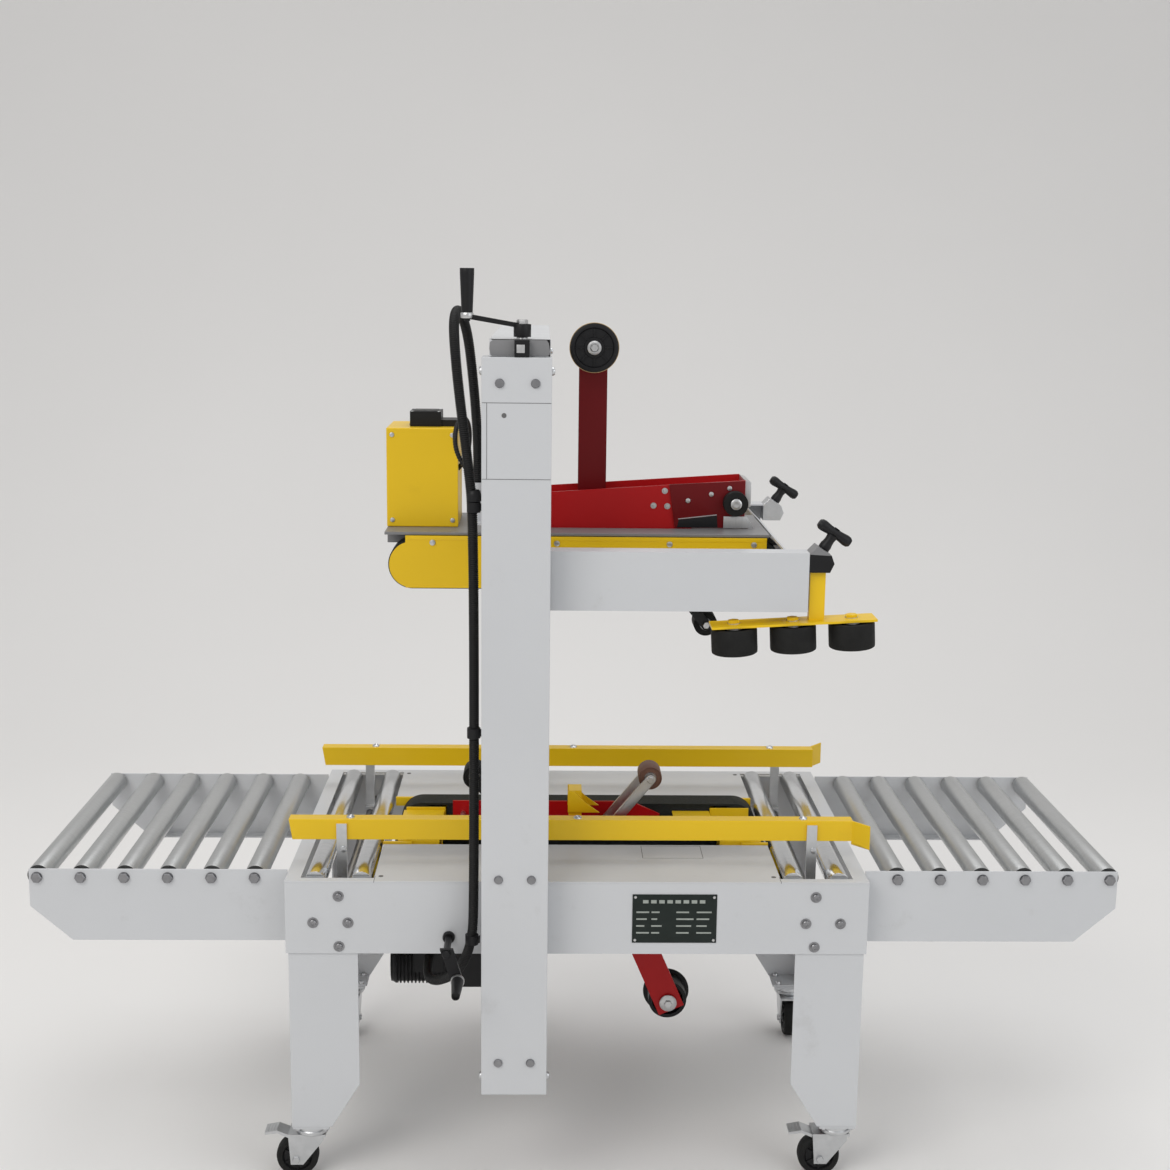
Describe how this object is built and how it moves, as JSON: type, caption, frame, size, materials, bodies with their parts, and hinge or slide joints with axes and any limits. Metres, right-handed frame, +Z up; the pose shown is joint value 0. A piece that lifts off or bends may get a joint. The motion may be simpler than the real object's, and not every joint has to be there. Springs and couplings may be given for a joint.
{
  "type": "carton sealer machine",
  "caption": "Carton sealing machine with roller tables, belt drives, tape heads above and below the deck, side guide rails and a crank-raised head on twin columns.",
  "frame": {"origin": "on the floor, midway between the two ends and the two side panels", "axes": "+X towards the infeed end, +Y towards the far side, away from the side crank, +Z up"},
  "size_m": [1.91, 0.855, 1.595],
  "materials": {
    "cream_paint": "smooth off-white powder coat",
    "grey_paint": "satin grey paint",
    "yellow_paint": "bright yellow powder coat",
    "red_paint": "red powder coat",
    "black_paint": "satin black paint",
    "zinc": "bright zinc plate",
    "roller_steel": "zinc-plated steel tube",
    "belt_rubber": "dark rough-top belt",
    "conduit_plastic": "ribbed black conduit",
    "crank_black": "black crank and grip",
    "arm_black": "black arm with a rubber roller",
    "hub_plastic": "black moulded drum",
    "roller_rubber": "black rubber",
    "knob_plastic": "black moulded handle",
    "castor_zinc": "bright zinc pressing",
    "castor_rubber": "black rubber tread"
  },
  "bodies": {
    "frame": {"base_frame": "cream_paint", "deck_plate": "cream_paint", "legs": "cream_paint", "columns": "cream_paint", "top_crossbeam": "grey_paint", "extension_side_plates": "cream_paint", "axles_and_bolts": "zinc", "deck_rollers": "roller_steel", "lower_belt_covers": "yellow_paint", "lower_belts": "belt_rubber", "lower_gearmotor": "black_paint", "lower_tape_head": "red_paint", "conduit": "conduit_plastic"},
    "head": {"head_frame": "cream_paint", "head_deck": "grey_paint", "head_belt_covers": "yellow_paint", "head_belts": "belt_rubber", "motor_cover": "yellow_paint", "head_gearmotor": "black_paint", "upper_tape_head": "red_paint"},
    "screw_front": {"leadscrew_front": "zinc", "top_crank": "crank_black"},
    "screw_rear": {"leadscrew_rear": "zinc"},
    "rail_near": {"rail_front": "yellow_paint"},
    "rail_far": {"rail_rear": "yellow_paint"},
    "rail_screw_west": {"rail_screw_left": "zinc"},
    "rail_screw_east": {"rail_screw_right": "zinc"},
    "crank_low": {"side_crank": "crank_black"},
    "arm_upper_front": {"upper_front_arm": "arm_black"},
    "arm_upper_rear": {"upper_rear_arm": "arm_black"},
    "arm_lower_front": {"lower_front_arm": "arm_black"},
    "arm_lower_rear": {"lower_rear_arm": "arm_black"},
    "hub_upper": {"upper_tape_hub": "hub_plastic"},
    "hub_lower": {"lower_tape_hub": "hub_plastic"},
    "press": {"press_bracket": "yellow_paint"},
    "press_wheel_1": {"press_roller_1": "roller_rubber"},
    "press_wheel_2": {"press_roller_2": "roller_rubber"},
    "press_wheel_3": {"press_roller_3": "roller_rubber"},
    "tee_front": {"knob_front": "knob_plastic"},
    "tee_rear": {"knob_rear": "knob_plastic"},
    "body_infeed_roller_1": {"infeed_roller_1": "roller_steel"},
    "body_infeed_roller_2": {"infeed_roller_2": "roller_steel"},
    "body_infeed_roller_3": {"infeed_roller_3": "roller_steel"},
    "body_infeed_roller_4": {"infeed_roller_4": "roller_steel"},
    "body_infeed_roller_5": {"infeed_roller_5": "roller_steel"},
    "body_infeed_roller_6": {"infeed_roller_6": "roller_steel"},
    "body_outfeed_roller_1": {"outfeed_roller_1": "roller_steel"},
    "body_outfeed_roller_2": {"outfeed_roller_2": "roller_steel"},
    "body_outfeed_roller_3": {"outfeed_roller_3": "roller_steel"},
    "body_outfeed_roller_4": {"outfeed_roller_4": "roller_steel"},
    "body_outfeed_roller_5": {"outfeed_roller_5": "roller_steel"},
    "body_outfeed_roller_6": {"outfeed_roller_6": "roller_steel"},
    "swivel_front_left": {"castor_fork_front_left": "castor_zinc"},
    "wheel_front_left": {"castor_wheel_front_left": "castor_rubber"},
    "swivel_front_right": {"castor_fork_front_right": "castor_zinc"},
    "wheel_front_right": {"castor_wheel_front_right": "castor_rubber"},
    "swivel_rear_left": {"castor_fork_rear_left": "castor_zinc"},
    "wheel_rear_left": {"castor_wheel_rear_left": "castor_rubber"},
    "swivel_rear_right": {"castor_fork_rear_right": "castor_zinc"},
    "wheel_rear_right": {"castor_wheel_rear_right": "castor_rubber"}
  },
  "joints": [
    {"name": "head_lift", "type": "slide", "parent": "frame", "child": "head", "axis": [0, 0, 1], "range_m": [-0.29, 0.14], "deforming": ["conduit"]},
    {"name": "screw_front_turn", "type": "hinge", "parent": "frame", "child": "screw_front", "pos_m": [-0.1, -0.352, 1], "axis": [0, 0, 1], "range_deg": [-5040, 10440]},
    {"name": "screw_rear_turn", "type": "hinge", "parent": "frame", "child": "screw_rear", "pos_m": [-0.1, 0.352, 1], "axis": [0, 0, 1], "range_deg": [-5040, 10440]},
    {"name": "side_crank_turn", "type": "hinge", "parent": "frame", "child": "crank_low", "pos_m": [-0.222, -0.36, 0.462], "axis": [0, -1, 0], "range_deg": [-900, 3600]},
    {"name": "rail_front_slide", "type": "slide", "parent": "frame", "child": "rail_near", "axis": [0, 1, 0], "range_m": [-0.02, 0.08]},
    {"name": "rail_rear_slide", "type": "slide", "parent": "frame", "child": "rail_far", "axis": [0, 1, 0], "range_m": [-0.08, 0.02]},
    {"name": "rail_screw_left_turn", "type": "hinge", "parent": "frame", "child": "rail_screw_west", "pos_m": [-0.414, 0, 0.5], "axis": [0, -1, 0], "range_deg": [-900, 3600]},
    {"name": "rail_screw_right_turn", "type": "hinge", "parent": "frame", "child": "rail_screw_east", "pos_m": [0.414, 0, 0.5], "axis": [0, -1, 0], "range_deg": [-900, 3600]},
    {"name": "lower_front_arm_swing", "type": "hinge", "parent": "frame", "child": "arm_lower_front", "pos_m": [0.053, 0, 0.546], "axis": [0, 1, 0], "range_deg": [0, 30], "stiffness_Nm_per_rad": 6, "springref_deg": -20.05},
    {"name": "lower_rear_arm_swing", "type": "hinge", "parent": "frame", "child": "arm_lower_rear", "pos_m": [-0.102, 0, 0.546], "axis": [0, 1, 0], "range_deg": [-30, 0], "stiffness_Nm_per_rad": 6, "springref_deg": 20.05},
    {"name": "upper_front_arm_swing", "type": "hinge", "parent": "head", "child": "arm_upper_front", "pos_m": [0.15, 0, 1.06], "axis": [0, 1, 0], "range_deg": [-30, 0], "stiffness_Nm_per_rad": 6, "springref_deg": 20.05},
    {"name": "upper_rear_arm_swing", "type": "hinge", "parent": "head", "child": "arm_upper_rear", "pos_m": [-0.005, 0, 1.06], "axis": [0, 1, 0], "range_deg": [0, 30], "stiffness_Nm_per_rad": 6, "springref_deg": -20.05},
    {"name": "upper_hub_spin", "type": "hinge", "parent": "head", "child": "hub_upper", "pos_m": [0.025, 0, 1.458], "axis": [0, 1, 0], "continuous": true},
    {"name": "lower_hub_spin", "type": "hinge", "parent": "frame", "child": "hub_lower", "pos_m": [0.183, 0, 0.206], "axis": [0, 1, 0], "continuous": true},
    {"name": "press_slide", "type": "slide", "parent": "head", "child": "press", "axis": [0, 0, 1], "range_m": [-0.02, 0]},
    {"name": "press_roller_1_spin", "type": "hinge", "parent": "press", "child": "press_wheel_1", "pos_m": [0.25767, -0.3, 1.0122], "axis": [-0.0583, 0, 0.9983], "continuous": true},
    {"name": "press_roller_2_spin", "type": "hinge", "parent": "press", "child": "press_wheel_2", "pos_m": [0.357, -0.3, 1.018], "axis": [-0.0583, 0, 0.9983], "continuous": true},
    {"name": "press_roller_3_spin", "type": "hinge", "parent": "press", "child": "press_wheel_3", "pos_m": [0.45633, -0.3, 1.0238], "axis": [-0.0583, 0, 0.9983], "continuous": true},
    {"name": "knob_front_turn", "type": "hinge", "parent": "head", "child": "tee_front", "pos_m": [0.404, -0.3, 1.14], "axis": [0.5519, 0, 0.8339], "range_deg": [0, 360]},
    {"name": "knob_rear_turn", "type": "hinge", "parent": "head", "child": "tee_rear", "pos_m": [0.404, 0.3, 1.14], "axis": [0.5519, 0, 0.8339], "range_deg": [0, 360]},
    {"name": "infeed_roller_1_spin", "type": "hinge", "parent": "frame", "child": "body_infeed_roller_1", "pos_m": [0.561, 0, 0.551], "axis": [0, 1, 0], "continuous": true},
    {"name": "infeed_roller_2_spin", "type": "hinge", "parent": "frame", "child": "body_infeed_roller_2", "pos_m": [0.636, 0, 0.551], "axis": [0, 1, 0], "continuous": true},
    {"name": "infeed_roller_3_spin", "type": "hinge", "parent": "frame", "child": "body_infeed_roller_3", "pos_m": [0.711, 0, 0.551], "axis": [0, 1, 0], "continuous": true},
    {"name": "infeed_roller_4_spin", "type": "hinge", "parent": "frame", "child": "body_infeed_roller_4", "pos_m": [0.786, 0, 0.551], "axis": [0, 1, 0], "continuous": true},
    {"name": "infeed_roller_5_spin", "type": "hinge", "parent": "frame", "child": "body_infeed_roller_5", "pos_m": [0.861, 0, 0.551], "axis": [0, 1, 0], "continuous": true},
    {"name": "infeed_roller_6_spin", "type": "hinge", "parent": "frame", "child": "body_infeed_roller_6", "pos_m": [0.936, 0, 0.551], "axis": [0, 1, 0], "continuous": true},
    {"name": "outfeed_roller_1_spin", "type": "hinge", "parent": "frame", "child": "body_outfeed_roller_1", "pos_m": [-0.561, 0, 0.551], "axis": [0, 1, 0], "continuous": true},
    {"name": "outfeed_roller_2_spin", "type": "hinge", "parent": "frame", "child": "body_outfeed_roller_2", "pos_m": [-0.636, 0, 0.551], "axis": [0, 1, 0], "continuous": true},
    {"name": "outfeed_roller_3_spin", "type": "hinge", "parent": "frame", "child": "body_outfeed_roller_3", "pos_m": [-0.711, 0, 0.551], "axis": [0, 1, 0], "continuous": true},
    {"name": "outfeed_roller_4_spin", "type": "hinge", "parent": "frame", "child": "body_outfeed_roller_4", "pos_m": [-0.786, 0, 0.551], "axis": [0, 1, 0], "continuous": true},
    {"name": "outfeed_roller_5_spin", "type": "hinge", "parent": "frame", "child": "body_outfeed_roller_5", "pos_m": [-0.861, 0, 0.551], "axis": [0, 1, 0], "continuous": true},
    {"name": "outfeed_roller_6_spin", "type": "hinge", "parent": "frame", "child": "body_outfeed_roller_6", "pos_m": [-0.936, 0, 0.551], "axis": [0, 1, 0], "continuous": true},
    {"name": "front_left_swivel", "type": "hinge", "parent": "frame", "child": "swivel_front_left", "pos_m": [-0.466, -0.292, 0.09], "axis": [0, 0, 1], "continuous": true},
    {"name": "front_left_wheel_spin", "type": "hinge", "parent": "swivel_front_left", "child": "wheel_front_left", "pos_m": [-0.494, -0.292, 0.0375], "axis": [0, 1, 0], "continuous": true},
    {"name": "front_right_swivel", "type": "hinge", "parent": "frame", "child": "swivel_front_right", "pos_m": [0.466, -0.292, 0.09], "axis": [0, 0, 1], "continuous": true},
    {"name": "front_right_wheel_spin", "type": "hinge", "parent": "swivel_front_right", "child": "wheel_front_right", "pos_m": [0.438, -0.292, 0.0375], "axis": [0, 1, 0], "continuous": true},
    {"name": "rear_left_swivel", "type": "hinge", "parent": "frame", "child": "swivel_rear_left", "pos_m": [-0.466, 0.292, 0.09], "axis": [0, 0, 1], "continuous": true},
    {"name": "rear_left_wheel_spin", "type": "hinge", "parent": "swivel_rear_left", "child": "wheel_rear_left", "pos_m": [-0.466, 0.264, 0.0375], "axis": [1, 0, 0], "continuous": true},
    {"name": "rear_right_swivel", "type": "hinge", "parent": "frame", "child": "swivel_rear_right", "pos_m": [0.466, 0.292, 0.09], "axis": [0, 0, 1], "continuous": true},
    {"name": "rear_right_wheel_spin", "type": "hinge", "parent": "swivel_rear_right", "child": "wheel_rear_right", "pos_m": [0.466, 0.264, 0.0375], "axis": [1, 0, 0], "continuous": true}
  ],
  "couplings": [
    {"joint": "screw_front_turn", "follows": "head_lift", "rad_per_m": -628.32},
    {"joint": "screw_rear_turn", "follows": "head_lift", "rad_per_m": -628.32},
    {"joint": "rail_front_slide", "follows": "side_crank_turn", "m_per_rad": 0.0012732},
    {"joint": "rail_rear_slide", "follows": "side_crank_turn", "m_per_rad": -0.0012732},
    {"joint": "rail_screw_left_turn", "follows": "side_crank_turn", "ratio": 1},
    {"joint": "rail_screw_right_turn", "follows": "side_crank_turn", "ratio": 1},
    {"joint": "lower_rear_arm_swing", "follows": "lower_front_arm_swing", "ratio": -1},
    {"joint": "upper_rear_arm_swing", "follows": "upper_front_arm_swing", "ratio": -1}
  ]
}
